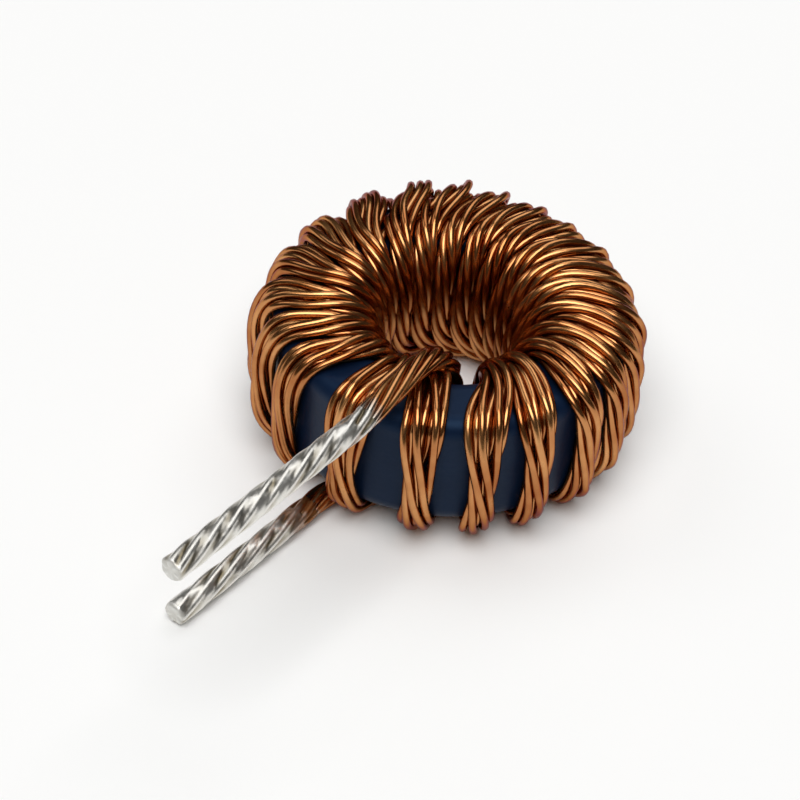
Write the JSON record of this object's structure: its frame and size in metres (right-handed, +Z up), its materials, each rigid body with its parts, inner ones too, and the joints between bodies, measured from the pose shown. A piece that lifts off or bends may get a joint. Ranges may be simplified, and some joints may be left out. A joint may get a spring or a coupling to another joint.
{
  "type": "toroidal inductor",
  "caption": "Toroidal inductor: dark blue coated powder core ring wound with a twisted bundle of enamelled copper wire, with tinned twisted leads out to the side.",
  "frame": {"origin": "on the ring's axis, on the surface that the winding rests on", "axes": "+Z up along the ring's axis, -Y the way that both leads point"},
  "size_m": [0.0264, 0.045, 0.0135],
  "materials": {
    "core_coat": "dark blue epoxy coat, semi-gloss",
    "enamelled_copper": "clear amber enamel over drawn copper wire",
    "solder": "dipped solder over twisted wire, bright"
  },
  "bodies": {
    "root": {"core": "core_coat", "winding": "enamelled_copper", "start_lead": "solder", "finish_lead": "solder"}
  },
  "joints": []
}
